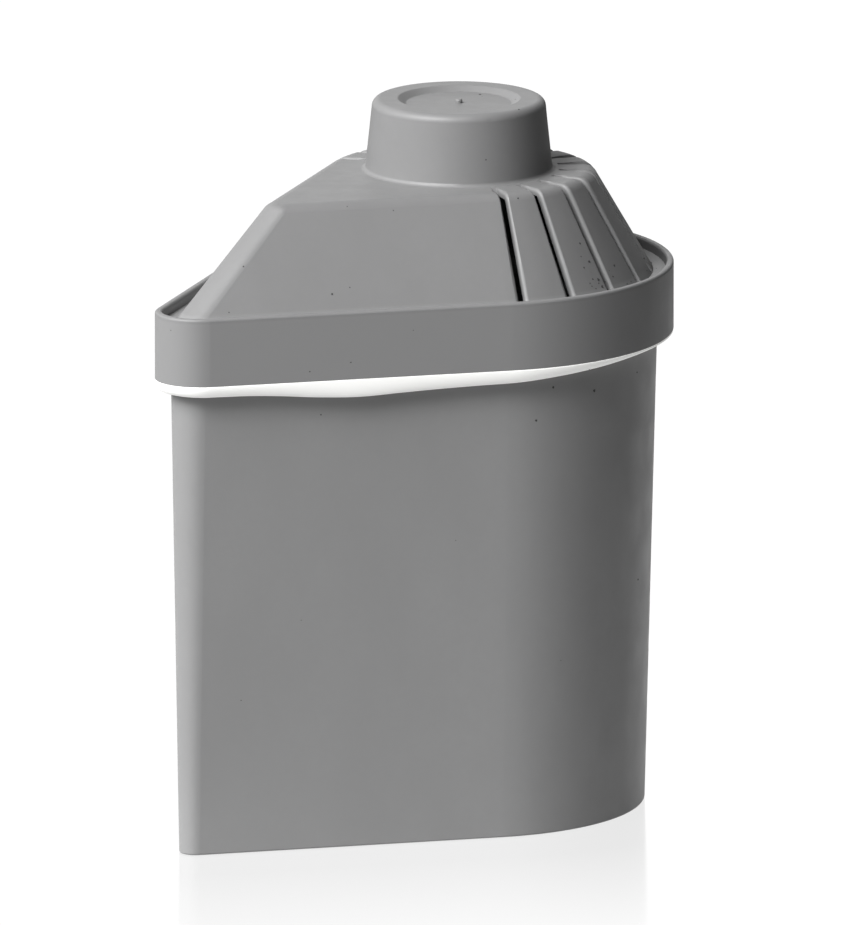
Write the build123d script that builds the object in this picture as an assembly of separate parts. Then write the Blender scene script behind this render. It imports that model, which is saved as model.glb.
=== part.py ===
from build123d import *
import os
from math import atan2, cos, radians, sin

# Water pitcher filter cartridge, in millimetres, +Z up.
# The origin is on the finger knob's axis at the underside of the cup. The teardrop's tip points to -X.

# Plan form, shared by every outline
TIP_HALF_ANGLE = 28.9  # degrees, from each flat wall to the plane of symmetry

# Cup
CUP_HEIGHT = 91.3
CUP_TOP_RADIUS = 34.3
CUP_TAPER = 1.9  # drawn in from top to base, on the radius
CUP_BASE_OFFSET = -0.5  # base's outline, towards the tip
CUP_BASE_TIP_RADIUS = 2.8
CUP_WALL = 1.5
CUP_FLOOR = 1.8
CUP_BASE_ROUND = 0.3

# Outlet grille in the cup's floor
GRILLE_MARGIN = 4.5
GRILLE_SLOT_WIDTH = 1.2
GRILLE_PITCH = 3.6
GRILLE_RIB_WIDTH = 3.0
GRILLE_RIB_PITCH = 19.0
GRILLE_TIP_RADIUS = 1.5

# Collar that hangs in the funnel, with a shallow gutter round the hood
COLLAR_HEIGHT = 11.8
COLLAR_TIP_RADIUS = 7.6
COLLAR_WALL = 1.3
COLLAR_EDGE_ROUND = 0.5
SEAL_SPACE = 1.3  # between the cup and the collar
GUTTER_DEPTH = 1.8
GUTTER_WIDTH = 2.3
DECK_THICKNESS = 1.5

# Hood that rises from the gutter to the plateau
HOOD_HEIGHT = 17.7
HOOD_FOOT_OFFSET = 0.1  # outline of the hood's foot, away from the tip
HOOD_FOOT_TIP_RADIUS = 3.7
HOOD_WALL = 1.2
PLATEAU_MARGIN = 6.6  # level ground round the knob's foot
PLATEAU_OFFSET = 0.45  # plateau's outline, away from the tip
PLATEAU_TIP_RADIUS = 3.0
PLATEAU_EDGE_ROUND = 2.4
WEB_THICKNESS = 1.2  # upright web under the plateau, on the plane of symmetry
WEB_TO_DECK_GAP = 2.2

# Finger knob
KNOB_HEIGHT = 12.3
KNOB_FOOT_RADIUS = 16.1
KNOB_TAPER = 1.3
KNOB_EDGE_ROUND = 1.4
KNOB_FOOT_ROUND = 0.7
KNOB_WALL = 1.6
DISH_BORDER = 4.3
DISH_SLOPE_WIDTH = 1.4
DISH_DEPTH = 0.9
DISH_ROUND = 0.5
GATE_RADIUS = 0.6
GATE_HEIGHT = 0.7

# Inlet slots, a fan about the hood's centre over the round end
SLOT_COUNT = 15
FIRST_SLOT_ANGLE = 65.8  # degrees from the tip's direction
SLOT_WIDTH = 1.1
SLOT_TO_KNOB_GAP = 0.2
SLOT_LEAD_LENGTH = 2.6  # over which the lips sink in from the knob's foot
SLOT_SILL = 0.3
SLOT_LIP_ROUND = 0.6

# Soft lip seal under the collar
LIP_HEIGHT = 2.6
LIP_FLAT = 0.2
BEAD_HEIGHT = 4.0

# Filter pads and the bed between them
PAD_THICKNESS = 2.5
PAD_CLEARANCE = 0.2
BED_CLEARANCE = 0.1

# Smallest rounding at an inner tip
MIN_TIP_RADIUS = 0.5

# Heights and outlines that follow from the sizes above
DECK_BOTTOM = CUP_HEIGHT
DECK_TOP = DECK_BOTTOM + DECK_THICKNESS
COLLAR_TOP = DECK_TOP + GUTTER_DEPTH
COLLAR_BOTTOM = COLLAR_TOP - COLLAR_HEIGHT
PLATEAU_Z = DECK_TOP + HOOD_HEIGHT
KNOB_TOP_Z = PLATEAU_Z + KNOB_HEIGHT
BED_BOTTOM = CUP_FLOOR + PAD_THICKNESS
BED_TOP = DECK_BOTTOM - PAD_THICKNESS
CUP_BASE = (CUP_TOP_RADIUS - CUP_TAPER, CUP_BASE_TIP_RADIUS, CUP_BASE_OFFSET)
CUP_TOP = (CUP_TOP_RADIUS, COLLAR_TIP_RADIUS - COLLAR_WALL - SEAL_SPACE, 0.0)
COLLAR_INNER = (CUP_TOP_RADIUS + SEAL_SPACE, COLLAR_TIP_RADIUS - COLLAR_WALL)
COLLAR_OUTER = (COLLAR_INNER[0] + COLLAR_WALL, COLLAR_TIP_RADIUS)
HOOD_FOOT = (COLLAR_INNER[0] - GUTTER_WIDTH, HOOD_FOOT_TIP_RADIUS, HOOD_FOOT_OFFSET)
PLATEAU = (KNOB_FOOT_RADIUS + PLATEAU_MARGIN, PLATEAU_TIP_RADIUS, PLATEAU_OFFSET)
HOOD_CENTRE = (HOOD_FOOT_OFFSET + PLATEAU_OFFSET) / 2
HOOD_SLOPE = atan2(HOOD_FOOT[0] - PLATEAU[0], HOOD_HEIGHT)
HOOD_INSET = HOOD_WALL / cos(HOOD_SLOPE)
KNOB_TOP_RADIUS = KNOB_FOOT_RADIUS - KNOB_TAPER
DISH_RADIUS = KNOB_TOP_RADIUS - DISH_BORDER
DISH_FLOOR_Z = KNOB_TOP_Z - DISH_DEPTH
SLOT_START = KNOB_FOOT_RADIUS + KNOB_FOOT_ROUND + SLOT_TO_KNOB_GAP
SLOT_FOOT_Z = DECK_TOP + SLOT_SILL


def between(low, high, share):
    return low + (high - low) * share


def teardrop(radius, tip_radius, offset=0.0):
    """Round end with two flat walls that close on a rounded tip, set off the axis along X."""
    tip_radius = max(tip_radius, MIN_TIP_RADIUS)
    spread = 90 - TIP_HALF_ANGLE
    tip_x = -(radius - tip_radius) / sin(radians(TIP_HALF_ANGLE))
    with BuildSketch() as outline:
        with BuildLine():
            round_end = CenterArc((0, 0), radius, 180 + spread, 360 - 2 * spread)
            tip = CenterArc((tip_x, 0), tip_radius, 180 - spread, 2 * spread)
            Line(round_end @ 1, tip @ 0)
            Line(tip @ 1, round_end @ 0)
        make_face()
    return Pos(offset, 0, 0) * outline.sketch


def prism(size, bottom, top):
    """Upright solid on a teardrop, given as (radius, tip radius, offset)."""
    return Pos(0, 0, bottom) * extrude(teardrop(*size), amount=top - bottom)


def drafted(bottom_size, top_size, bottom, top):
    """Solid with sloping walls between two teardrops."""
    low = Pos(0, 0, bottom) * teardrop(*bottom_size)
    high = Pos(0, 0, top) * teardrop(*top_size)
    return loft([low, high], ruled=True)


def blend_size(low_size, high_size, share, inset):
    """Outline part of the way between two teardrops, drawn in by an inset."""
    radius, tip_radius, offset = (between(*ends, share) for ends in zip(low_size, high_size))
    return radius - inset, tip_radius - inset, offset


def cup_size(z, inset=0.0):
    return blend_size(CUP_BASE, CUP_TOP, z / CUP_HEIGHT, inset)


def hood_size(z, inset=0.0):
    return blend_size(HOOD_FOOT, PLATEAU, (z - DECK_TOP) / HOOD_HEIGHT, inset)


def cup_slice(bottom, top, inset=0.0):
    return drafted(cup_size(bottom, inset), cup_size(top, inset), bottom, top)


def hood_slice(bottom, top, inset=0.0):
    return drafted(hood_size(bottom, inset), hood_size(top, inset), bottom, top)


def round_corner(half, radius, height, round_radius):
    """Round the corner of a half section that lies nearest to a radius and height."""
    corner = half.vertices().sort_by_distance((radius, height))[0]
    fillet(corner, round_radius)


def knob_body():
    """Solid knob with its dished top, rooted in the plateau."""
    root = PLATEAU_Z - HOOD_WALL / 2
    skirt = KNOB_FOOT_RADIUS + 2 * KNOB_FOOT_ROUND
    dish_floor_radius = DISH_RADIUS - DISH_SLOPE_WIDTH
    with BuildSketch(Plane.XZ) as half:
        with BuildLine():
            Polyline(
                (0, root),
                (skirt, root),
                (skirt, PLATEAU_Z),
                (KNOB_FOOT_RADIUS, PLATEAU_Z),
                (KNOB_TOP_RADIUS, KNOB_TOP_Z),
                (DISH_RADIUS, KNOB_TOP_Z),
                (dish_floor_radius, DISH_FLOOR_Z),
                (0, DISH_FLOOR_Z),
                close=True,
            )
        make_face()
        round_corner(half, KNOB_TOP_RADIUS, KNOB_TOP_Z, KNOB_EDGE_ROUND)
        round_corner(half, KNOB_FOOT_RADIUS, PLATEAU_Z, KNOB_FOOT_ROUND)
        round_corner(half, DISH_RADIUS, KNOB_TOP_Z, DISH_ROUND)
        round_corner(half, dish_floor_radius, DISH_FLOOR_Z, DISH_ROUND)
    return revolve(half.sketch, Axis.Z)


def knob_hollow():
    """Space inside the knob, open into the hood."""
    root = PLATEAU_Z - 2 * HOOD_WALL
    ceiling = DISH_FLOOR_Z - KNOB_WALL
    ceiling_radius = KNOB_TOP_RADIUS - KNOB_WALL
    with BuildSketch(Plane.XZ) as half:
        with BuildLine():
            Polyline(
                (0, root),
                (KNOB_FOOT_RADIUS - KNOB_WALL, root),
                (ceiling_radius, ceiling),
                (0, ceiling),
                close=True,
            )
        make_face()
        round_corner(half, ceiling_radius, ceiling, KNOB_EDGE_ROUND)
    return revolve(half.sketch, Axis.Z)


def gate_nub():
    """Stub of the moulding gate in the middle of the dish."""
    root = DISH_FLOOR_Z - KNOB_WALL / 2
    nub = Pos(0, 0, root) * extrude(Circle(GATE_RADIUS), amount=KNOB_WALL / 2 + GATE_HEIGHT)
    return fillet(nub.edges().sort_by(Axis.Z)[-1], GATE_RADIUS / 2)


def slot_path():
    """Section line of the round end's outer surface, from a slot's inner end down to its foot."""
    with BuildLine(Plane.XZ) as line:
        FilletPolyline(
            (SLOT_START, PLATEAU_Z + SLOT_LIP_ROUND),
            (SLOT_START + SLOT_LEAD_LENGTH, PLATEAU_Z),
            (PLATEAU[0], PLATEAU_Z),
            (hood_size(SLOT_FOOT_Z)[0], SLOT_FOOT_Z),
            radius=PLATEAU_EDGE_ROUND,
        )
    return line.wire()


def slot_mouth():
    """Tool that rounds both lips of a slot along the outer surface."""
    lip_x = SLOT_WIDTH / 2 + SLOT_LIP_ROUND
    with BuildSketch(Plane.YZ.offset(SLOT_START)) as section:
        with Locations((0, PLATEAU_Z + SLOT_LIP_ROUND)):
            Rectangle(2 * lip_x, 2 * SLOT_LIP_ROUND)
            with Locations((lip_x, -SLOT_LIP_ROUND), (-lip_x, -SLOT_LIP_ROUND)):
                Circle(SLOT_LIP_ROUND, mode=Mode.SUBTRACT)
    return sweep(section.sketch, path=slot_path())


def slot_cutter():
    """Tool for one slot in the XZ plane, towards +X. Its inner end slopes through the plateau."""
    end = (HOOD_FOOT[0] + COLLAR_INNER[0]) / 2
    through = SLOT_START + HOOD_WALL
    with BuildSketch(Plane.XZ) as side:
        with BuildLine():
            Polyline(
                (SLOT_START, PLATEAU_Z),
                (through, PLATEAU_Z - HOOD_WALL),
                (through, SLOT_FOOT_Z),
                (end, SLOT_FOOT_Z),
                (end, KNOB_TOP_Z),
                (SLOT_START, KNOB_TOP_Z),
                close=True,
            )
        make_face()
    return extrude(side.sketch, amount=SLOT_WIDTH / 2, both=True) + slot_mouth()


def slot_angles():
    """Directions of the slots, evenly spread over the round end from one flat wall to the other."""
    reach = 360 - 2 * FIRST_SLOT_ANGLE
    step = reach / (SLOT_COUNT - 1)
    return [FIRST_SLOT_ANGLE - 180 + step * i for i in range(SLOT_COUNT)]


def make_collar():
    """Upright band with a thin deck across it, which leaves a gutter round the hood."""
    band = prism(COLLAR_OUTER, COLLAR_BOTTOM, COLLAR_TOP)
    under = prism(COLLAR_INNER, COLLAR_BOTTOM, DECK_BOTTOM)
    gutter = prism(COLLAR_INNER, DECK_TOP, COLLAR_TOP)
    collar = band - under - gutter
    return fillet(collar.edges().group_by(Axis.Z)[-1], COLLAR_EDGE_ROUND)


def make_web(hollow):
    """Upright web inside the hood, from its tip to below the far side of the knob."""
    bottom = DECK_TOP + WEB_TO_DECK_GAP
    height = PLATEAU_Z - bottom
    length = 3 * HOOD_FOOT[0]
    centre = Pos(KNOB_FOOT_RADIUS - length / 2, 0, bottom + height / 2)
    return hollow & centre * Box(length, WEB_THICKNESS, height)


def make_cap():
    """Hood, knob, deck and collar, moulded in one."""
    hood = hood_slice(DECK_TOP, PLATEAU_Z)
    hood = fillet(hood.edges().group_by(Axis.Z)[-1], PLATEAU_EDGE_ROUND)
    hollow = hood_slice(DECK_TOP, PLATEAU_Z - HOOD_WALL, HOOD_INSET)
    deck_opening = prism(hood_size(DECK_TOP, HOOD_INSET), DECK_BOTTOM, DECK_TOP)
    cap = hood + knob_body() + make_collar() + gate_nub()
    cap = cap - hollow - deck_opening - knob_hollow() + make_web(hollow)
    cutter = slot_cutter()
    centre = Pos(HOOD_CENTRE, 0, 0)
    return cap - [centre * Rot(0, 0, angle) * cutter for angle in slot_angles()]


def grille_openings():
    """Narrow parallel openings within the floor, split by cross ribs."""
    radius, tip_radius, offset = cup_size(0, CUP_WALL + GRILLE_MARGIN)
    field = teardrop(radius, max(tip_radius, GRILLE_TIP_RADIUS), offset)
    reach = radius / sin(radians(TIP_HALF_ANGLE))
    rows = int(radius / GRILLE_PITCH)
    ribs = int(reach / GRILLE_RIB_PITCH)
    with BuildSketch() as bars:
        with Locations([(0, GRILLE_PITCH * i) for i in range(-rows, rows + 1)]):
            Rectangle(2 * reach, GRILLE_SLOT_WIDTH)
    with BuildSketch() as webs:
        with Locations([(GRILLE_RIB_PITCH * i, 0) for i in range(-ribs, ribs + 1)]):
            Rectangle(GRILLE_RIB_WIDTH, 2 * reach)
    return (field & bars.sketch) - webs.sketch


def make_cup():
    """Tapered cup that holds the bed, open at the top, with its outlet grille in the floor."""
    outer = cup_slice(0, CUP_HEIGHT)
    outer = fillet(outer.edges().group_by(Axis.Z)[0], CUP_BASE_ROUND)
    cavity = cup_slice(CUP_FLOOR, CUP_HEIGHT, CUP_WALL)
    return outer - cavity - extrude(grille_openings(), amount=CUP_FLOOR)


def make_lip_seal():
    """Soft lip below the collar, with a bead that fills the space between collar and cup."""
    lip = prism(COLLAR_OUTER, COLLAR_BOTTOM - LIP_HEIGHT, COLLAR_BOTTOM)
    lip = fillet(lip.edges().group_by(Axis.Z)[0], LIP_HEIGHT - LIP_FLAT)
    bead = prism(COLLAR_INNER, COLLAR_BOTTOM, COLLAR_BOTTOM + BEAD_HEIGHT)
    return lip + bead - cup_slice(0, CUP_HEIGHT)


def make_outlet_pad():
    return cup_slice(CUP_FLOOR, BED_BOTTOM, CUP_WALL + PAD_CLEARANCE)


def make_filter_bed():
    return cup_slice(BED_BOTTOM, BED_TOP, CUP_WALL + BED_CLEARANCE)


def make_inlet_pad():
    return cup_slice(BED_TOP, DECK_BOTTOM, CUP_WALL + PAD_CLEARANCE)


PIECES = {
    "cap": make_cap,
    "cup": make_cup,
    "lip_seal": make_lip_seal,
    "inlet_pad": make_inlet_pad,
    "filter_bed": make_filter_bed,
    "outlet_pad": make_outlet_pad,
}

os.makedirs("parts", exist_ok=True)
for name, make in PIECES.items():
    export_step(make(), f"parts/{name}.step")
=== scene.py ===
"""Looks of a water pitcher filter cartridge: finishes, soft pieces, carbon dust and the stage."""

import math

import bmesh
import bpy
from bpy.props import FloatProperty, FloatVectorProperty, IntProperty, PointerProperty
from mathutils import Matrix, Vector
from mathutils.bvhtree import BVHTree


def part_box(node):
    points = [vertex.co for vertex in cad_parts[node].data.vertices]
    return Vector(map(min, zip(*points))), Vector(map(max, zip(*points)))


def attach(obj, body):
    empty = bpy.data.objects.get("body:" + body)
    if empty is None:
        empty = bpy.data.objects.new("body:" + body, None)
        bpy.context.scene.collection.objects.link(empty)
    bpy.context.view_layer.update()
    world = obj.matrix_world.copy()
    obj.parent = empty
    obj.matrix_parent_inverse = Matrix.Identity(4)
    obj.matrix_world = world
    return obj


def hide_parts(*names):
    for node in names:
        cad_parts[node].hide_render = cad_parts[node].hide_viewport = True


bl_info = {
    "name": "Filter Cartridge Looks",
    "version": (1, 0, 0),
    "blender": (4, 5, 0),
    "location": "3D View > Sidebar > Cartridge",
    "description": "Finishes, soft pieces, dust and stage for a water pitcher filter cartridge",
    "category": "Object",
}

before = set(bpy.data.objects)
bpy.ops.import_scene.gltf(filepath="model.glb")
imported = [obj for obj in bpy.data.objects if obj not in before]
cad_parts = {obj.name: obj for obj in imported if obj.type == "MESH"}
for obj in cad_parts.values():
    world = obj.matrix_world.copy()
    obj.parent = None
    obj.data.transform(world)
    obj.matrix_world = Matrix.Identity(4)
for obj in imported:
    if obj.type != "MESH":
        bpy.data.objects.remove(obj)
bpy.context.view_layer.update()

MM = 0.001
BODY = "root"
WHITE = (1.0, 1.0, 1.0, 1.0)

# First and last value of a mask, as what it follows grows
RISING = (0.0, 1.0)
FALLING = (1.0, 0.0)

# Teardrop outline: half the angle between its flat walls, and the stations along each of its parts
TIP_HALF_ANGLE = math.radians(28.9)
ROUND_STATIONS = 168
WALL_STATIONS = 72
TIP_STATIONS = 36

# Underside of the cup in millimetres: radius, tip radius and offset from the knob's axis
CUP_BASE = (32.4, 2.8, -0.5)

# Collar and gutter in millimetres
COLLAR_WALL = 1.3
COLLAR_TOP = 94.6
GUTTER_FLOOR = 92.8

# Heights in millimetres between which the collar band's painted light and shade ends
BAND_END = (COLLAR_TOP - 0.9, COLLAR_TOP - 0.3)

# Painted crease shade at the foot of the collar's wall by the tip: limits in mm up the wall, at the
# floor and along X
CREASE_SHADE_TOP = (GUTTER_FLOOR + 0.05, GUTTER_FLOOR + 0.5)
CREASE_SHADE_FLOOR = (GUTTER_FLOOR - 0.02, GUTTER_FLOOR - 0.01)
CREASE_SHADE_REACH = (-62.0, -50.0)

# How far its wall faces +X, and how dark it is as a share of the cap's tone
CREASE_SHADE_FACING = (0.1, 0.3)
CREASE_SHADE_TONE = 0.12

# Painted shadow of the hood on the collar's inner wall at its round end: limits of radius, X and
# height in millimetres
HOOD_SHADOW_RADIUS = (34.4, 34.8)
HOOD_SHADOW_REACH = (6.0, 14.0)
HOOD_SHADOW_HEIGHT = (92.7, 92.9)

# How far its wall faces inward, as the dot product of place and normal, and its share of the tone
HOOD_SHADOW_FACING = (-20.0, -10.0)
HOOD_SHADOW_TONE = 0.3

# Specks: their solid core as a share of their size, and the width of the choice between cells
SPECK_CORE = 0.6
SPECK_CHOICE = 1.02

# Lip of the seal in millimetres: its edge's width, and how far below the collar it leaves the cup
LIP_EDGE = 0.35
LIP_ROOT = 0.3

# Share of its stand-off by which the lip's edge rises, and the steps of the curve down to it
LIP_LIFT = 0.2
LIP_STEPS = 12

# How far the lip hangs below the collar in millimetres, by direction in degrees round the knob
LIP_DROPS = (
    (180.0, 2.2),
    (186.0, 2.3),
    (189.8, 2.4),
    (193.2, 2.7),
    (198.6, 3.3),
    (205.1, 3.6),
    (212.9, 3.3),
    (222.0, 3.0),
    (232.4, 2.8),
    (243.2, 2.65),
    (254.7, 2.2),
    (267.6, 1.7),
    (288.9, 1.0),
    (316.8, 1.1),
    (355.0, 1.5),
    (395.0, 2.1),
    (430.0, 2.6),
    (470.0, 2.9),
    (505.0, 3.1),
    (525.0, 2.5),
)

# Felt pads: cut of the corner as a share of its round, and the faces' rings in from the edge in mm
PAD_CORNER = 0.3
PAD_RINGS = (3.0, 8.0, 15.0, 23.0)

# Point that the rings close in on as a share of the tip's reach, how fast they do, and the most
PAD_CENTRE = 0.3
PAD_CLOSING = 1.25
PAD_CLOSED = 0.94

# Two crossing waves of the felt's faces, in radians to a metre along X and Y
PAD_WAVES = ((310.0, 170.0), (-90.0, 260.0))

# Dust grains in millimetres: where each lies, and its width
DUST = (
    (-41.4, -12.5, 96.5, 0.20),
    (3.0, -31.6, 95.5, 0.27),
    (3.3, -32.2, 94.3, 0.24),
    (-0.2, -34.0, 76.9, 0.27),
    (7.3, 2.5, 121.9, 0.23),
    (2.5, -29.8, 98.4, 0.23),
    (-11.8, -31.8, 73.1, 0.21),
    (14.0, -30.0, 40.9, 0.17),
    (-6.8, -22.0, 109.6, 0.16),
    (-8.8, -32.9, 78.6, 0.21),
    (-52.9, -2.7, 101.5, 0.14),
    (2.0, -28.1, 101.4, 0.19),
    (12.0, -31.8, 77.9, 0.15),
    (1.0, -13.9, 122.7, 0.16),
    (-3.3, -36.2, 81.1, 0.12),
    (7.0, -31.0, 95.3, 0.14),
    (-6.8, -14.0, 115.1, 0.13),
    (0.8, -30.4, 97.7, 0.16),
    (7.7, -5.9, 122.3, 0.10),
    (-45.3, -13.9, 76.3, 0.13),
    (-26.7, -12.1, 108.9, 0.11),
    (-33.3, -7.6, 109.8, 0.10),
    (-38.3, -13.6, 97.4, 0.12),
    (-58.1, -4.7, 94.6, 0.12),
    (-42.7, -18.6, 85.8, 0.12),
    (-49.0, -15.1, 84.6, 0.12),
    (8.5, -29.7, 96.8, 0.22),
    (1.1, -29.3, 99.4, 0.12),
    (1.8, -31.5, 95.7, 0.16),
    (2.8, -31.9, 94.9, 0.14),
    (0.8, -31.9, 95.2, 0.13),
    (1.0, -32.2, 94.7, 0.12),
    (1.7, -32.4, 94.2, 0.12),
    (3.4, -32.3, 94.1, 0.13),
    (5.4, -30.8, 94.6, 0.10),
    (6.6, -30.5, 96.3, 0.09),
    (10.2, -31.2, 93.6, 0.13),
    (11.6, -30.7, 93.7, 0.12),
    (27.5, -19.0, 92.8, 0.20),
    (21.6, -23.4, 95.1, 0.14),
    (24.8, -23.1, 92.8, 0.13),
    (19.5, -26.4, 93.8, 0.12),
    (13.2, -30.0, 93.7, 0.16),
    (6.5, 1.1, 121.9, 0.08),
    (-68.2, -1.0, 92.4, 0.09),
    (-33.1, -23.9, 90.8, 0.08),
    (-47.9, -11.7, 40.4, 0.08),
    (-24.2, -25.0, 52.9, 0.08),
    (-57.0, -6.4, 26.9, 0.09),
    (-6.5, -32.4, 30.3, 0.08),
)

# Most in millimetres that a placed grain may be moved to lie on a surface
DUST_REACH = 1.5

# Broken faces of a grain: how coarse and how deep, and the full turn in radians that it may spin
FLAKE_NOISE = 1.1
FLAKE_DEPTH = 1.5
FLAKE_SPIN = 6.283

# Strewn grains: side they stay off, where the far side starts, and widths as shares of the mean
PHOTO_SIDE = (-0.668, -0.711, 0.22)
FAR_SIDE = -0.05
STREWN_WIDTHS = (0.5, 1.4)

# Studio lamps: name, direction and elevation in degrees, distance and width in metres, and watts
LAMPS = (
    ("key", 186.8, 49.0, 1.2, 0.6, 18.8),
    ("low_key", 186.8, 33.0, 1.2, 0.6, 6.2),
    ("side", 146.8, 35.0, 1.2, 0.6, 8.7),
)
LAMP_TARGET = Vector((-0.010, 0.0, 0.070))

# Camera: place and clipping in metres, turn in degrees, and lens and sensor in millimetres
CAMERA_PLACE = (-3.37396, -3.58844, 1.1678)
CAMERA_TURN = (90 - 12.69, 0.0, -43.18)
CAMERA_RANGE = (0.5, 20.0)
CAMERA_LENS = 1143.1
CAMERA_SENSOR = 36.0

# Gap in millimetres that keeps the floor clear of the cup's underside
FLOOR_GAP = 0.03

# Floor's own matt grey, how bright it is to the camera, and the share that this brightness has
FLOOR_GREY = (0.2, 0.2, 0.2, 1.0)
FLOOR_GLOW = 1.095
FLOOR_GLOW_SHARE = 0.93

# Floor's mirror: its share beside the cup and far away, where it fades in mm, and its roughness
MIRROR_SHARES = (0.24, 0.0)
MIRROR_FADE = (14.0, 99.0)
MIRROR_ROUGHNESS = 0.12

# Floor in reflections: how bright it is near the cartridge and far away, and where that fades in mm
POOL_LEVELS = (1.5, 0.1)
POOL_FADE = (330.0, 500.0)

# Soft white screens seen in reflections: direction and elevation in degrees, and strength
SCREENS = (
    (186.8, 10.0, 0.3),
    (136.8, 10.0, 0.9),
    (86.8, 10.0, 0.7),
    (36.8, 10.0, 0.5),
    (246.8, 10.0, 1.9),
    (0.0, 90.0, 0.4),
)

# How fast a screen fades round its middle, as a power of the cosine
SCREEN_FALL = 3.0

# White backdrop seen in reflections: direction and elevation in degrees, and cosines of its edge
BACKDROP = (46.8, 12.7)
BACKDROP_EDGE = (0.90, 0.97)


def heading(direction, elevation):
    """Unit vector toward a direction round the object and an elevation, both in degrees."""
    turn, rise = math.radians(direction), math.radians(elevation)
    level = math.cos(rise)
    return Vector((math.cos(turn) * level, math.sin(turn) * level, math.sin(rise)))


def polar(radius, angle):
    """Point seen from above, at a radius and an angle in radians."""
    return Vector((radius * math.cos(angle), radius * math.sin(angle)))


def teardrop(radius, tip_radius, offset=0.0):
    """Outline stations of a teardrop, tip toward -X. Every size gives stations that match."""
    fan = math.pi / 2 - TIP_HALF_ANGLE
    centre = Vector((offset, 0.0))
    tip_centre = centre - Vector(((radius - tip_radius) / math.sin(TIP_HALF_ANGLE), 0.0))
    first_wall, last_wall = math.pi + fan, 3 * math.pi - fan
    round_end = [
        centre + polar(radius, first_wall + (last_wall - first_wall) * i / ROUND_STATIONS)
        for i in range(ROUND_STATIONS + 1)
    ]
    tip = [
        tip_centre + polar(tip_radius, math.pi - fan + 2 * fan * i / TIP_STATIONS)
        for i in range(TIP_STATIONS + 1)
    ]
    steps = [i / WALL_STATIONS for i in range(1, WALL_STATIONS)]
    far_wall = [round_end[-1].lerp(tip[0], step) for step in steps]
    near_wall = [tip[-1].lerp(round_end[0], step) for step in steps]
    return round_end + far_wall + tip + near_wall


def tip_radius_of(radius, tip_reach):
    """Radius of a teardrop's tip, from how far the tip lies from the middle of the round end."""
    ratio = 1 / math.sin(TIP_HALF_ANGLE)
    return (radius * ratio + tip_reach) / (ratio - 1)


def teardrop_size(node):
    """Radius, tip radius and offset of the teardrop that a node's box holds, in metres."""
    low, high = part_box(node)
    offset = high.x - high.y
    return high.y, tip_radius_of(high.y, low.x - offset), offset


def cup_rim_size():
    """Radius, tip radius and offset of the cup's top, in metres. The knob's axis is its middle."""
    low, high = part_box("cup")
    return high.x, tip_radius_of(high.x, low.x), 0.0


def smooth_value(stations, angle):
    """Value at an angle in degrees, on a closed smooth curve through (angle, value) stations."""
    count = len(stations)
    turn = (angle - stations[0][0]) % 360.0 + stations[0][0]
    index = max(i for i in range(count) if stations[i][0] <= turn)

    def station(i):
        laps, place = divmod(i, count)
        return stations[place][0] + 360.0 * laps, stations[place][1]

    (a0, v0), (a1, v1), (a2, v2), (a3, v3) = (station(index + k) for k in (-1, 0, 1, 2))
    t = (turn - a1) / (a2 - a1)
    slope_1 = (v2 - v0) / (a2 - a0) * (a2 - a1)
    slope_2 = (v3 - v1) / (a3 - a1) * (a2 - a1)
    return (
        (2 * t**3 - 3 * t**2 + 1) * v1
        + (t**3 - 2 * t**2 + t) * slope_1
        + (3 * t**2 - 2 * t**3) * v2
        + (t**3 - t**2) * slope_2
    )


def closed_shell(name, rings, caps=False):
    """Mesh object from rings of matching points. The last joins the first, or both get caps."""
    mesh = bpy.data.meshes.new(name)
    shell = bmesh.new()
    rows = [[shell.verts.new(point) for point in ring] for ring in rings]
    pairs = list(zip(rows, rows[1:]))
    if not caps:
        pairs.append((rows[-1], rows[0]))
    for lower, upper in pairs:
        for i in range(len(lower)):
            j = (i + 1) % len(lower)
            shell.faces.new((lower[i], lower[j], upper[j], upper[i]))
    if caps:
        for row in (rows[0], rows[-1]):
            middle = shell.verts.new(sum((v.co for v in row), Vector()) / len(row))
            for i in range(len(row)):
                shell.faces.new((row[i], row[(i + 1) % len(row)], middle))
    bmesh.ops.recalc_face_normals(shell, faces=shell.faces)
    for face in shell.faces:
        face.smooth = True
    shell.to_mesh(mesh)
    shell.free()
    piece = bpy.data.objects.new(name, mesh)
    bpy.context.scene.collection.objects.link(piece)
    return piece


def add(tree, kind, inputs=None, **settings):
    """New node in a tree. Inputs are set by name or place, to a value or from a node's socket."""
    node = tree.nodes.new(kind)
    for key, value in settings.items():
        setattr(node, key, value)
    for key, value in (inputs or {}).items():
        if isinstance(value, bpy.types.NodeSocket):
            tree.links.new(value, node.inputs[key])
        else:
            node.inputs[key].default_value = value
    return node


def number(tree, operation, *values):
    """Number that a Math node makes of numbers."""
    return add(tree, "ShaderNodeMath", dict(enumerate(values)), operation=operation).outputs[0]


def vector(tree, operation, *values):
    """Vector that a Vector Math node makes of vectors."""
    node = add(tree, "ShaderNodeVectorMath", dict(enumerate(values)), operation=operation)
    return node.outputs["Vector"]


def measure(tree, operation, *values):
    """Number that a Vector Math node makes of vectors, such as a length or a dot product."""
    node = add(tree, "ShaderNodeVectorMath", dict(enumerate(values)), operation=operation)
    return node.outputs["Value"]


def part_of(tree, place, axis):
    """One part of a vector: X, Y or Z."""
    return add(tree, "ShaderNodeSeparateXYZ", {0: place}).outputs[axis]


def product(tree, *factors):
    """All the factors multiplied."""
    total = factors[0]
    for factor in factors[1:]:
        total = number(tree, "MULTIPLY", total, factor)
    return total


def noise(tree, place, size, detail=2.0, roughness=0.5, stretch=None):
    """Noise value from 0 to 1 whose patches are about size millimetres across."""
    if stretch:
        place = add(tree, "ShaderNodeMapping", {"Vector": place, "Scale": stretch}).outputs[0]
    look = {"Vector": place, "Scale": 1 / size, "Detail": detail, "Roughness": roughness}
    return add(tree, "ShaderNodeTexNoise", look).outputs["Fac"]


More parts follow.
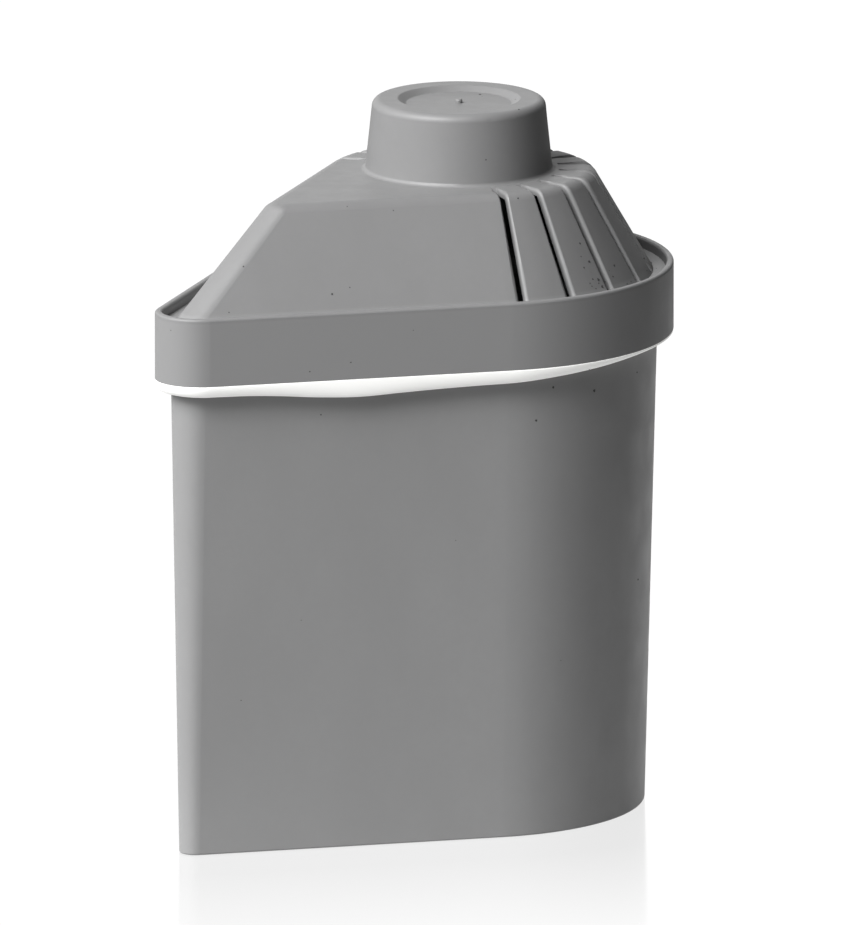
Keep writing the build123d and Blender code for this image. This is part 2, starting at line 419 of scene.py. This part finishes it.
def spread(tree, value, given, wanted):
    """Value moved from the given range to the wanted one, and held there."""
    ends = {"From Min": given[0], "From Max": given[1], "To Min": wanted[0], "To Max": wanted[1]}
    return add(tree, "ShaderNodeMapRange", {"Value": value, **ends}).outputs["Result"]


def mix_colour(tree, factor, first, second):
    """Mix of two colours. The Mix node has its colour sockets at 6 and 7, and 2 of its outputs."""
    node = add(tree, "ShaderNodeMix", {0: factor, 6: first, 7: second}, data_type="RGBA")
    return node.outputs[2]


def shade(colour, factor):
    """Colour with an alpha of 1, made darker or brighter."""
    return tuple(channel * factor for channel in colour[:3]) + (1.0,)


def specks(tree, place, cell, size, share):
    """Mask of small round specks: one in each cell of a grid, and only in a share of the cells."""
    grid = {"Vector": place, "Scale": 1 / cell, "Randomness": 1.0}
    cells = add(tree, "ShaderNodeTexVoronoi", grid).outputs
    reach = size / cell
    chosen = spread(tree, cells["Color"], (share, share * SPECK_CHOICE), FALLING)
    near = spread(tree, cells["Distance"], (reach * SPECK_CORE, reach), FALLING)
    return product(tree, chosen, near)


def bump(tree, pattern, strength, depth, under=None):
    """Normal of a surface that a pattern raises by depth millimetres, over another bump."""
    look = {"Height": pattern, "Strength": strength, "Distance": depth * MM}
    if under is not None:
        look["Normal"] = under
    return add(tree, "ShaderNodeBump", look).outputs[0]


def new_material(name):
    """Material with an empty tree, that tree, and the place of each point in millimetres."""
    material = bpy.data.materials.new(name)
    material.use_nodes = True
    tree = material.node_tree
    tree.nodes.clear()
    place = add(tree, "ShaderNodeTexCoord").outputs["Object"]
    return material, tree, vector(tree, "MULTIPLY", place, (1 / MM, 1 / MM, 1 / MM))


def finish_surface(tree, tone, gloss, normal, more=None):
    """Ends a material's tree in one shader. What is the same all over is set on its own sockets."""
    look = {"Base Color": tone, "Roughness": gloss, "Normal": normal, **(more or {})}
    shader = add(tree, "ShaderNodeBsdfPrincipled", look)
    add(tree, "ShaderNodeOutputMaterial", {"Surface": shader.outputs[0]})


def painted_collar_shading(tree, place, tone, colour, band_painted_shading, crease_shade_strength):
    """Painted collar shading: light and shade on the band, crease shade by the tip, and the hood's
    shadow on the inner wall.
    """
    height = part_of(tree, place, "Z")
    reach = part_of(tree, place, "X")
    # Collar band: painted light and shade, as a factor on the cap's tone
    on_band = spread(tree, height, BAND_END, FALLING)
    tone = mix_colour(tree, on_band, tone, shade(colour, band_painted_shading))

    # Painted crease shade at the foot of the collar's wall by the tip
    facing = add(tree, "ShaderNodeNewGeometry").outputs["Normal"]
    ragged = noise(tree, place, size=0.7, detail=3.0, roughness=0.7)
    crease_shade = product(
        tree,
        spread(tree, height, CREASE_SHADE_TOP, FALLING),
        spread(tree, height, CREASE_SHADE_FLOOR, RISING),
        spread(tree, reach, CREASE_SHADE_REACH, FALLING),
        spread(tree, part_of(tree, facing, "X"), CREASE_SHADE_FACING, RISING),
        spread(tree, ragged, (0.3, 0.6), (0.2, crease_shade_strength)),
    )
    tone = mix_colour(tree, crease_shade, tone, shade(colour, CREASE_SHADE_TONE))

    # Painted shadow of the hood on the collar's inner wall at its round end
    flat = vector(tree, "MULTIPLY", place, (1.0, 1.0, 0.0))
    hood_shadow = product(
        tree,
        spread(tree, measure(tree, "DOT_PRODUCT", flat, facing), HOOD_SHADOW_FACING, FALLING),
        spread(tree, measure(tree, "LENGTH", flat), HOOD_SHADOW_RADIUS, RISING),
        spread(tree, reach, HOOD_SHADOW_REACH, RISING),
        spread(tree, height, HOOD_SHADOW_HEIGHT, RISING),
    )
    return mix_colour(tree, hood_shadow, tone, shade(colour, HOOD_SHADOW_TONE))


def moulded_plastic(name, colour, roughness, grain, collar=None):
    """Satin grey moulding: spark-eroded grain, faint flow patches, regrind specks and scuffs."""
    material, tree, place = new_material(name)
    flow = noise(tree, place, size=14.0, detail=3.0, stretch=(1.0, 1.0, 0.55))
    flowing = spread(tree, flow, (0.3, 0.7), RISING)
    tone = mix_colour(tree, flowing, shade(colour, 0.965), shade(colour, 1.03))
    mottle = noise(tree, place, size=1.6, detail=4.0, roughness=0.6)
    mottled = spread(tree, mottle, (0.35, 0.75), (0.0, 0.35))
    tone = mix_colour(tree, mottled, tone, shade(colour, 0.93))
    dots = specks(tree, place, cell=5.2, size=0.14, share=0.10)
    tone = mix_colour(tree, dots, tone, shade(colour, 0.18))
    # The collar gets painted light and shade, a painted crease shade and the hood's painted shadow
    if collar:
        tone = painted_collar_shading(tree, place, tone, colour, *collar)
    scuffs = noise(tree, place, size=5.0, detail=5.0, roughness=0.65)
    gloss = spread(tree, scuffs, (0.3, 0.75), (roughness - 0.04, roughness + 0.07))
    fine = noise(tree, place, size=0.16, roughness=0.6)
    waves = noise(tree, place, size=9.0, detail=1.0)
    grained = bump(tree, fine, strength=0.55, depth=grain)
    waved = bump(tree, waves, strength=0.35, depth=0.12, under=grained)
    finish_surface(tree, tone, gloss, waved, {"IOR": 1.49})
    return material


def soft_elastomer(name, colour, glow):
    """Matt white elastomer with fine dust in its surface, and a painted glow for light let through.
    """
    material, tree, place = new_material(name)
    clouds = spread(tree, noise(tree, place, size=6.0, detail=3.0), (0.3, 0.7), RISING)
    tone = mix_colour(tree, clouds, shade(colour, 0.97), shade(colour, 1.0))
    dots = specks(tree, place, cell=4.0, size=0.12, share=0.12)
    tone = mix_colour(tree, dots, tone, shade(colour, 0.45))
    gloss = spread(tree, noise(tree, place, size=2.5, detail=4.0), (0.3, 0.7), (0.5, 0.62))
    normal = bump(tree, noise(tree, place, size=0.35, detail=3.0), strength=0.4, depth=0.02)
    # Painted glow: emission that stands in for light let through the seal
    light = {"IOR": 1.42, "Emission Color": shade(colour, 1.0), "Emission Strength": glow}
    finish_surface(tree, tone, gloss, normal, light)
    return material


def pressed_felt(name, colour):
    """Dark pressed felt: matted fibres that run every way in the sheet."""
    material, tree, place = new_material(name)
    along = noise(tree, place, size=0.5, detail=4.0, roughness=0.7, stretch=(0.25, 1.6, 1.0))
    across = noise(tree, place, size=0.5, detail=4.0, roughness=0.7, stretch=(1.6, 0.25, 1.0))
    fibres = number(tree, "MAXIMUM", along, across)
    matted = spread(tree, fibres, (0.4, 0.75), RISING)
    tone = mix_colour(tree, matted, shade(colour, 0.55), shade(colour, 1.9))
    gloss = spread(tree, fibres, (0.3, 0.8), (0.98, 0.86))
    finish_surface(tree, tone, gloss, bump(tree, fibres, strength=0.9, depth=0.15))
    return material


def carbon_granules(name, colour):
    """Bed of loose carbon granules with paler exchanger beads among them."""
    material, tree, place = new_material(name)
    grid = {"Vector": place, "Scale": 1.3, "Randomness": 1.0}
    grains = add(tree, "ShaderNodeTexVoronoi", grid).outputs
    beads = spread(tree, grains["Color"], (0.30, 0.32), FALLING)
    tone = mix_colour(tree, beads, shade(colour, 1.0), shade(colour, 7.0))
    soot = spread(tree, noise(tree, place, size=0.4, detail=3.0), (0.3, 0.8), (0.0, 0.6))
    tone = mix_colour(tree, soot, tone, shade(colour, 0.4))
    domes = spread(tree, grains["Distance"], (0.0, 0.8), FALLING)
    gloss = spread(tree, noise(tree, place, size=0.9), (0.3, 0.7), (0.45, 0.8))
    finish_surface(tree, tone, gloss, bump(tree, domes, strength=1.0, depth=0.5))
    return material


def carbon_grain(name, colour):
    """Dull, nearly black carbon with a faint glint on its broken faces."""
    material, tree, place = new_material(name)
    broken = noise(tree, place, size=0.08)
    tone = mix_colour(tree, broken, shade(colour, 0.6), shade(colour, 1.6))
    gloss = spread(tree, broken, (0.3, 0.7), (0.55, 0.85))
    finish_surface(tree, tone, gloss, bump(tree, broken, strength=0.6, depth=0.02))
    return material


def dress_node(node, material):
    """Gives a CAD node, whose shape stays as it is, a better finish."""
    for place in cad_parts[node].material_slots:
        place.material = material


class MouldingSettings(bpy.types.PropertyGroup):
    cap_colour: FloatVectorProperty(
        name="Cap Colour",
        description="Grey of the cap moulding",
        default=(0.1830, 0.1830, 0.1840),
        size=3,
        subtype="COLOR",
    )
    cup_colour: FloatVectorProperty(
        name="Cup Colour",
        description="Grey of the cup moulding",
        default=(0.2440, 0.2440, 0.2450),
        size=3,
        subtype="COLOR",
    )
    roughness: FloatProperty(
        name="Roughness",
        description="Mean roughness of the mouldings",
        default=0.5,
        min=0.0,
        max=1.0,
        subtype="FACTOR",
    )
    grain: FloatProperty(
        name="Grain Depth",
        description="Depth of the spark-eroded grain in millimetres",
        default=0.010,
        min=0.0,
    )
    # Painted light and shade of the collar band, as a factor on the cap's tone
    collar_painted_shading: FloatProperty(
        name="Collar Shade",
        description="Tone of the collar band as a share of the cap's",
        default=1.18,
        min=0.0,
        subtype="FACTOR",
    )
    # Painted crease shade at the foot of the gutter's wall by the tip
    gutter_crease_shade: FloatProperty(
        name="Gutter Dirt",
        description="How thick the settled dust lies in the gutter by the tip",
        default=0.8,
        min=0.0,
        max=1.0,
        subtype="FACTOR",
    )


class SealSettings(bpy.types.PropertyGroup):
    colour: FloatVectorProperty(
        name="Seal Colour",
        description="White of the lip seal",
        default=(0.80, 0.80, 0.785),
        size=3,
        subtype="COLOR",
    )
    # Painted glow of the seal: emission standing in for light let through
    glow: FloatProperty(
        name="Glow",
        description="Light that comes through the soft seal",
        default=0.41,
        min=0.0,
        max=1.0,
    )
    drop_scale: FloatProperty(
        name="Lip Drop",
        description="Share of the drawn lip drop that is used",
        default=1.0,
        min=0.2,
        max=1.5,
        subtype="FACTOR",
    )
    stand_off: FloatProperty(
        name="Lip Stand-off",
        description="Gap between the lip's edge and the cup as a share of the lip's drop",
        default=0.45,
        min=0.0,
        max=0.6,
        subtype="FACTOR",
    )
    flat: FloatProperty(
        name="Lip Flat",
        description="Upright strip under the collar",
        default=0.0002,
        min=0.0,
        unit="LENGTH",
    )


class PadSettings(bpy.types.PropertyGroup):
    colour: FloatVectorProperty(
        name="Felt Colour",
        description="Dark grey of the felt pads",
        default=(0.05, 0.05, 0.05),
        size=3,
        subtype="COLOR",
    )
    edge_round: FloatProperty(
        name="Edge Round",
        description="Radius of the soft cut edge",
        default=0.0006,
        min=0.0,
        unit="LENGTH",
    )
    waviness: FloatProperty(
        name="Waviness",
        description="How far the faces of the felt rise and fall",
        default=0.00008,
        min=0.0,
        unit="LENGTH",
    )
    granule_colour: FloatVectorProperty(
        name="Granule Colour",
        description="Near black of the carbon granules",
        default=(0.03, 0.03, 0.03),
        size=3,
        subtype="COLOR",
    )


class DustSettings(bpy.types.PropertyGroup):
    colour: FloatVectorProperty(
        name="Dust Colour",
        description="Near black of the carbon dust",
        default=(0.035, 0.035, 0.035),
        size=3,
        subtype="COLOR",
    )
    grain_scale: FloatProperty(
        name="Grain Scale",
        description="Size of the placed grains as a share of the drawn one",
        default=2.1,
        min=0.1,
    )
    hidden_grain: FloatProperty(
        name="Scattered Grain",
        description="Width of the grains scattered over the far sides",
        default=0.00022,
        min=0.0,
        unit="LENGTH",
    )
    thickness: FloatProperty(
        name="Thickness",
        description="Thickness of a grain as a share of its width",
        default=0.4,
        min=0.1,
        max=1.0,
        subtype="FACTOR",
    )
    density: FloatProperty(
        name="Density",
        description="Grains to a square metre on the far sides",
        default=3500.0,
        min=0.0,
    )
    seed: IntProperty(name="Seed", description="Seed of the scattered grains", default=3)


class StageSettings(bpy.types.PropertyGroup):
    light_level: FloatProperty(
        name="Light Level",
        description="Share of each studio lamp's power that is used",
        default=1.0,
        min=0.0,
    )
    ambient: FloatProperty(
        name="Ambient",
        description="Strength of the world's light on the object",
        default=0.0,
        min=0.0,
    )
    floor_width: FloatProperty(
        name="Floor Width",
        description="Width of the pale floor",
        default=3.0,
        min=0.1,
        unit="LENGTH",
    )


class CARTRIDGE_OT_finish_mouldings(bpy.types.Operator):
    """Gives the grey cap and cup their moulded plastic finish"""

    bl_idname = "cartridge.finish_mouldings"
    bl_label = "Finish Mouldings"

    def execute(self, context):
        settings = context.scene.cartridge_mouldings
        # Painted shading of the collar: band light and shade, crease shade and the hood's shadow
        collar = (settings.collar_painted_shading, settings.gutter_crease_shade)
        for node, colour, band in (
            ("cap", settings.cap_colour, collar),
            ("cup", settings.cup_colour, None),
        ):
            plastic = moulded_plastic(
                f"{node}_plastic", colour, settings.roughness, settings.grain, band
            )
            dress_node(node, plastic)
        return {"FINISHED"}


class CARTRIDGE_OT_make_lip_seal(bpy.types.Operator):
    """Makes the soft white seal whose lip rises and falls round the cup"""

    bl_idname = "cartridge.make_lip_seal"
    bl_label = "Make Lip Seal"

    def execute(self, context):
        settings = context.scene.cartridge_seal
        seal_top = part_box("lip_seal")[1].z
        cup_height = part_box("cup")[1].z
        collar_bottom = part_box("cap")[0].z
        curve_top = collar_bottom - settings.flat
        root = collar_bottom - LIP_ROOT * MM
        outline = teardrop(*teardrop_size("lip_seal"))
        cup_top = teardrop(*cup_rim_size())
        cup_base = teardrop(*(size * MM for size in CUP_BASE))
        sections = []
        for outside, base, top in zip(outline, cup_base, cup_top):
            inward = (top - outside).normalized()

            def reach_of_cup(height):
                return (base.lerp(top, height / cup_height) - outside).dot(inward)

            angle = math.degrees(math.atan2(outside.y, outside.x))
            drop = smooth_value(LIP_DROPS, angle) * MM * settings.drop_scale
            clear = drop * settings.stand_off
            drop -= clear * LIP_LIFT
            bottom = collar_bottom - drop
            edge_reach = reach_of_cup(bottom) - clear
            round_reach = edge_reach - LIP_EDGE * MM
            section = [(0.0, collar_bottom)]
            for step in range(LIP_STEPS + 1):
                turn = math.pi / 2 * step / LIP_STEPS
                height = curve_top - (drop - settings.flat) * math.sin(turn)
                section.append((round_reach * (1 - math.cos(turn)), height))
            section += [
                (edge_reach, bottom),
                (reach_of_cup(root), root),
                (reach_of_cup(seal_top), seal_top),
                (COLLAR_WALL * MM, seal_top),
                (COLLAR_WALL * MM, collar_bottom),
            ]
            sections.append([(*(outside + inward * shift), height) for shift, height in section])
        seal = closed_shell("lip_seal_soft", zip(*sections))
        # The seal's glow is painted light
        seal.data.materials.append(
            soft_elastomer("seal_elastomer", settings.colour, settings.glow)
        )
        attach(seal, BODY)
        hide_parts("lip_seal")
        return {"FINISHED"}


class CARTRIDGE_OT_make_felt_pads(bpy.types.Operator):
    """Makes the two felt pads that hold the granules in, and finishes the granules"""

    bl_idname = "cartridge.make_felt_pads"
    bl_label = "Make Felt Pads"

    def execute(self, context):
        settings = context.scene.cartridge_pads
        felt = pressed_felt("felt", settings.colour)
        edge = settings.edge_round
        face = [(0.0, edge), (edge * PAD_CORNER, edge * PAD_CORNER), (edge, 0.0)]
        face += [(ring * MM, 0.0) for ring in PAD_RINGS]
        for node in ("inlet_pad", "outlet_pad"):
            low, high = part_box(node)
            size = teardrop_size(node)
            outline = teardrop(*size)
            centre = Vector((low.x * PAD_CENTRE, 0.0))
            rings = [(shift, low.z + depth, 1) for shift, depth in reversed(face)]
            rings += [(shift, high.z - depth, -1) for shift, depth in face]
            rows = []
            for shift, height, inner_side in rings:
                closing = min(PAD_CLOSED, shift / size[0] * PAD_CLOSING)
                row = []
                for point in outline:
                    moved = point + (centre - point) * closing
                    sway = math.prod(math.sin(moved.x * a + moved.y * b) for a, b in PAD_WAVES)
                    lift = settings.waviness * sway if shift > edge else 0.0
                    row.append((*moved, height + inner_side * (settings.waviness + lift)))
                rows.append(row)
            pad = closed_shell(f"{node}_felt", rows, caps=True)
            pad.data.materials.append(felt)
            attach(pad, BODY)
            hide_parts(node)
        dress_node("filter_bed", carbon_granules("granules", settings.granule_colour))
        return {"FINISHED"}


def dust_tree():
    """Tree that lays flat, angular grains on given points and strews more over the far sides."""
    tree = bpy.data.node_groups.new("dust_grains", "GeometryNodeTree")
    sockets = {
        name: tree.interface.new_socket(name, in_out="INPUT", socket_type=kind).identifier
        for name, kind in (
            ("Places", "NodeSocketGeometry"),
            ("Carrier", "NodeSocketObject"),
            ("Grain Size", "NodeSocketFloat"),
            ("Thickness", "NodeSocketFloat"),
            ("Density", "NodeSocketFloat"),
            ("Hidden From", "NodeSocketVector"),
            ("Seed", "NodeSocketInt"),
            ("Material", "NodeSocketMaterial"),
        )
    }
    tree.interface.new_socket("Grains", in_out="OUTPUT", socket_type="NodeSocketGeometry")
    given = add(tree, "NodeGroupInput").outputs

    # One flat grain with broken faces
    ball = {"Radius": 1.0, "Subdivisions": 2}
    flake = add(tree, "GeometryNodeMeshIcoSphere", ball).outputs["Mesh"]
    place = add(tree, "GeometryNodeInputPosition").outputs[0]
    look = {"Vector": place, "Scale": FLAKE_NOISE, "Detail": 2.0}
    rough = add(tree, "ShaderNodeTexNoise", look).outputs["Color"]
    centred = vector(tree, "SUBTRACT", rough, (0.5, 0.5, 0.5))
    push = add(tree, "ShaderNodeVectorMath", {0: centred, "Scale": FLAKE_DEPTH}, operation="SCALE")
    moved = {"Geometry": flake, "Offset": push.outputs[0]}
    flake = add(tree, "GeometryNodeSetPosition", moved).outputs[0]
    spin = add(
        tree,
        "FunctionNodeRandomValue",
        {0: (0.0, 0.0, 0.0), 1: (0.0, 0.0, FLAKE_SPIN), "Seed": given["Seed"]},
        data_type="FLOAT_VECTOR",
    ).outputs[0]

    def attribute(name, kind):
        node = add(tree, "GeometryNodeInputNamedAttribute", {"Name": name}, data_type=kind)
        return node.outputs["Attribute"]

    def grains(points, normal, width):
        """Grains that lie flat on the points, each with its own spin."""
        lying = add(tree, "FunctionNodeAlignEulerToVector", {"Vector": normal}, axis="Z")
        turns = {"Rotation": lying.outputs[0], "Rotate By": spin}
        turned = add(tree, "FunctionNodeRotateEuler", turns, space="LOCAL").outputs[0]
        height = number(tree, "MULTIPLY", width, given["Thickness"])
        scale = add(tree, "ShaderNodeCombineXYZ", {0: width, 1: width, 2: height}).outputs[0]
        laid = {"Points": points, "Instance": flake, "Rotation": turned, "Scale": scale}
        return add(tree, "GeometryNodeInstanceOnPoints", laid).outputs[0]

    # Grains on the given points
    outward = attribute("outward", "FLOAT_VECTOR")
    placed = grains(given["Places"], outward, attribute("grain_size", "FLOAT"))

    # Grains strewn over the carrier's far sides
    carrier = add(tree, "GeometryNodeObjectInfo", {"Object": given["Carrier"]}).outputs["Geometry"]
    facing = add(tree, "GeometryNodeInputNormal").outputs[0]
    toward = measure(tree, "DOT_PRODUCT", facing, given["Hidden From"])
    hidden = number(tree, "LESS_THAN", toward, FAR_SIDE)
    strewing = {
        "Mesh": carrier,
        "Selection": hidden,
        "Density": given["Density"],
        "Seed": given["Seed"],
    }
    strewn = add(tree, "GeometryNodeDistributePointsOnFaces", strewing).outputs
    least, most = STREWN_WIDTHS
    draw = {2: least, 3: most, "Seed": given["Seed"]}
    share = add(tree, "FunctionNodeRandomValue", draw, data_type="FLOAT").outputs[1]
    width = number(tree, "MULTIPLY", share, given["Grain Size"])
    scattered = grains(strewn["Points"], strewn["Normal"], width)

    joined = add(tree, "GeometryNodeJoinGeometry")
    tree.links.new(placed, joined.inputs[0])
    tree.links.new(scattered, joined.inputs[0])
    real = add(tree, "GeometryNodeRealizeInstances", {"Geometry": joined.outputs[0]}).outputs[0]
    dressed = {"Geometry": real, "Material": given["Material"]}
    finished = add(tree, "GeometryNodeSetMaterial", dressed).outputs[0]
    add(tree, "NodeGroupOutput", {"Grains": finished})
    return tree, sockets


class CARTRIDGE_OT_scatter_dust(bpy.types.Operator):
    """Lays carbon dust on the cap, cup and seal, as grains that sit in their surface"""

    bl_idname = "cartridge.scatter_dust"
    bl_label = "Scatter Dust"

    def execute(self, context):
        settings = context.scene.cartridge_dust
        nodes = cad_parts
        carriers = [nodes["cap"], nodes["cup"], bpy.data.objects["lip_seal_soft"]]
        depsgraph = context.evaluated_depsgraph_get()
        surfaces = [BVHTree.FromObject(carrier, depsgraph) for carrier in carriers]
        places, normals, sizes = [], [], []
        for x, y, z, width in DUST:
            asked = Vector((x, y, z)) * MM
            hits = [surface.find_nearest(asked) for surface in surfaces]
            point, normal, _, distance = min(hits, key=lambda hit: hit[3])
            if distance > DUST_REACH * MM:
                raise RuntimeError(f"no surface near the grain at {x}, {y}, {z}")
            places.append(point)
            normals.extend(normal)
            sizes.append(width / 2 * MM * settings.grain_scale)
        mesh = bpy.data.meshes.new("dust")
        mesh.from_pydata(places, [], [])
        outward = mesh.attributes.new("outward", "FLOAT_VECTOR", "POINT")
        outward.data.foreach_set("vector", normals)
        grain_size = mesh.attributes.new("grain_size", "FLOAT", "POINT")
        grain_size.data.foreach_set("value", sizes)
        dust = bpy.data.objects.new("carbon_dust", mesh)
        context.scene.collection.objects.link(dust)
        tree, sockets = dust_tree()
        scatter = dust.modifiers.new("scatter", "NODES")
        scatter.node_group = tree
        inputs = {
            "Carrier": nodes["cap"],
            "Grain Size": settings.hidden_grain / 2,
            "Thickness": settings.thickness,
            "Density": settings.density,
            "Hidden From": PHOTO_SIDE,
            "Seed": settings.seed,
            "Material": carbon_grain("dust_carbon", settings.colour),
        }
        for name, value in inputs.items():
            scatter[sockets[name]] = value
        depsgraph = context.evaluated_depsgraph_get()
        grains = bpy.data.meshes.new_from_object(dust.evaluated_get(depsgraph))
        dust.modifiers.clear()
        dust.data = grains
        if not grains.polygons:
            raise RuntimeError("the dust has no grains")
        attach(dust, BODY)
        return {"FINISHED"}


def seen_directly(tree):
    """1 for what the camera, a reflection or a clear piece sees, and 1 for the camera alone."""
    path = add(tree, "ShaderNodeLightPath").outputs
    seen = path["Is Camera Ray"]
    for kind in ("Is Glossy Ray", "Is Transmission Ray"):
        seen = number(tree, "MAXIMUM", seen, path[kind])
    return seen, path["Is Camera Ray"]


def studio_world(ambient):
    """World that is white to the camera, and shows reflections soft screens and a backdrop."""
    world = bpy.data.worlds.new("studio")
    bpy.context.scene.world = world
    world.use_nodes = True
    tree = world.node_tree
    tree.nodes.clear()
    seen, shown = seen_directly(tree)
    direction = add(tree, "ShaderNodeTexCoord").outputs["Generated"]
    for turn, rise, level in SCREENS:
        toward = measure(tree, "DOT_PRODUCT", direction, heading(turn, rise))
        soft = number(tree, "POWER", number(tree, "MAXIMUM", toward, 0.0), SCREEN_FALL)
        shown = number(tree, "MULTIPLY_ADD", soft, level, shown)
    toward = measure(tree, "DOT_PRODUCT", direction, heading(*BACKDROP))
    shown = number(tree, "MAXIMUM", shown, spread(tree, toward, BACKDROP_EDGE, RISING))
    unseen = add(tree, "ShaderNodeBackground", {"Color": WHITE, "Strength": ambient})
    bright = add(tree, "ShaderNodeBackground", {"Color": WHITE, "Strength": shown})
    layers = {0: seen, 1: unseen.outputs[0], 2: bright.outputs[0]}
    both = add(tree, "ShaderNodeMixShader", layers)
    add(tree, "ShaderNodeOutputWorld", {"Surface": both.outputs[0]})


def distance_from_base(tree, place):
    """Distance in millimetres from the cup's underside outline to a point on the floor."""
    radius, _, offset = CUP_BASE
    apart = vector(tree, "SUBTRACT", place, (offset, 0.0, 0.0))
    x = part_of(tree, apart, "X")
    y = part_of(tree, vector(tree, "ABSOLUTE", apart), "Y")
    point = add(tree, "ShaderNodeCombineXYZ", {0: x, 1: y}).outputs[0]
    sine, cosine = math.sin(TIP_HALF_ANGLE), math.cos(TIP_HALF_ANGLE)
    outward = measure(tree, "DOT_PRODUCT", point, (-sine, cosine, 0.0))
    along = measure(tree, "DOT_PRODUCT", point, (cosine, sine, 0.0))
    round_part = number(tree, "MAXIMUM", along, 0.0)
    reach = add(tree, "ShaderNodeCombineXYZ", {0: outward, 1: round_part}).outputs[0]
    return number(tree, "SUBTRACT", measure(tree, "LENGTH", reach), radius)


def floor_material():
    """White floor with the object's soft shadow and a fading reflection, clear from below."""
    material, tree, place = new_material("floor_white")
    seen, to_camera = seen_directly(tree)
    pool = spread(tree, measure(tree, "LENGTH", place), POOL_FADE, POOL_LEVELS)
    level = add(tree, "ShaderNodeMix", {0: to_camera, 2: pool, 3: FLOOR_GLOW}).outputs[0]
    share = number(tree, "MULTIPLY", seen, FLOOR_GLOW_SHARE)
    fading = spread(tree, distance_from_base(tree, place), MIRROR_FADE, MIRROR_SHARES)
    below = add(tree, "ShaderNodeNewGeometry").outputs["Backfacing"]
    matt = add(tree, "ShaderNodeBsdfDiffuse", {"Color": FLOOR_GREY})
    glow = add(tree, "ShaderNodeEmission", {"Color": WHITE, "Strength": level})
    mirror = add(tree, "ShaderNodeBsdfGlossy", {"Color": WHITE, "Roughness": MIRROR_ROUGHNESS})
    clear = add(tree, "ShaderNodeBsdfTransparent")
    surface = matt.outputs[0]
    for factor, layer in ((share, glow), (fading, mirror), (below, clear)):
        layers = {0: factor, 1: surface, 2: layer.outputs[0]}
        surface = add(tree, "ShaderNodeMixShader", layers).outputs[0]
    add(tree, "ShaderNodeOutputMaterial", {"Surface": surface})
    return material


def lamp(name, direction, elevation, distance, width, power):
    """Square area lamp that looks at the object. Direction and elevation are in degrees."""
    data = bpy.data.lights.new(name, "AREA")
    data.shape = "SQUARE"
    data.size = width
    data.energy = power
    light = bpy.data.objects.new(name, data)
    bpy.context.scene.collection.objects.link(light)
    away = heading(direction, elevation)
    turned = away.to_track_quat("Z", "Y").to_matrix().to_4x4()
    light.matrix_world = Matrix.Translation(LAMP_TARGET + away * distance) @ turned


class CARTRIDGE_OT_set_stage(bpy.types.Operator):
    """Sets the pale floor, the studio lamps and the camera"""

    bl_idname = "cartridge.set_stage"
    bl_label = "Set Stage"

    def execute(self, context):
        settings = context.scene.cartridge_stage
        scene = context.scene
        scene.view_settings.view_transform = "Standard"
        studio_world(settings.ambient)
        half = settings.floor_width / 2
        mesh = bpy.data.meshes.new("floor")
        corners = [(-half, -half), (half, -half), (half, half), (-half, half)]
        mesh.from_pydata([(x, y, -FLOOR_GAP * MM) for x, y in corners], [], [(0, 1, 2, 3)])
        floor = bpy.data.objects.new("floor", mesh)
        scene.collection.objects.link(floor)
        mesh.materials.append(floor_material())
        for name, direction, elevation, distance, width, power in LAMPS:
            lamp(name, direction, elevation, distance, width, power * settings.light_level)
        data = bpy.data.cameras.new("camera")
        data.lens = CAMERA_LENS
        data.sensor_width = CAMERA_SENSOR
        data.clip_start, data.clip_end = CAMERA_RANGE
        camera = bpy.data.objects.new("camera", data)
        camera.location = CAMERA_PLACE
        camera.rotation_euler = [math.radians(angle) for angle in CAMERA_TURN]
        scene.collection.objects.link(camera)
        scene.camera = camera
        return {"FINISHED"}


class CARTRIDGE_PT_looks(bpy.types.Panel):
    """Lists the cartridge's sizes, colours and steps"""

    bl_label = "Filter Cartridge"
    bl_idname = "CARTRIDGE_PT_looks"
    bl_space_type = "VIEW_3D"
    bl_region_type = "UI"
    bl_category = "Cartridge"

    def draw(self, context):
        for group, step in STEPS:
            box = self.layout.box()
            settings = getattr(context.scene, group)
            for name in settings.__annotations__:
                box.prop(settings, name)
            box.operator(step.bl_idname)


GROUPS = {
    "cartridge_mouldings": MouldingSettings,
    "cartridge_seal": SealSettings,
    "cartridge_pads": PadSettings,
    "cartridge_dust": DustSettings,
    "cartridge_stage": StageSettings,
}

STEPS = (
    ("cartridge_mouldings", CARTRIDGE_OT_finish_mouldings),
    ("cartridge_seal", CARTRIDGE_OT_make_lip_seal),
    ("cartridge_pads", CARTRIDGE_OT_make_felt_pads),
    ("cartridge_dust", CARTRIDGE_OT_scatter_dust),
    ("cartridge_stage", CARTRIDGE_OT_set_stage),
)


def register():
    for name, group in GROUPS.items():
        bpy.utils.register_class(group)
        setattr(bpy.types.Scene, name, PointerProperty(type=group))
    for _, step in STEPS:
        bpy.utils.register_class(step)
    bpy.utils.register_class(CARTRIDGE_PT_looks)


def unregister():
    bpy.utils.unregister_class(CARTRIDGE_PT_looks)
    for _, step in reversed(STEPS):
        bpy.utils.unregister_class(step)
    for name, group in reversed(GROUPS.items()):
        delattr(bpy.types.Scene, name)
        bpy.utils.unregister_class(group)


def main():
    register()
    bpy.ops.cartridge.finish_mouldings()
    bpy.ops.cartridge.make_lip_seal()
    bpy.ops.cartridge.make_felt_pads()
    bpy.ops.cartridge.scatter_dust()
    bpy.ops.cartridge.set_stage()


if __name__ == "__main__":
    main()
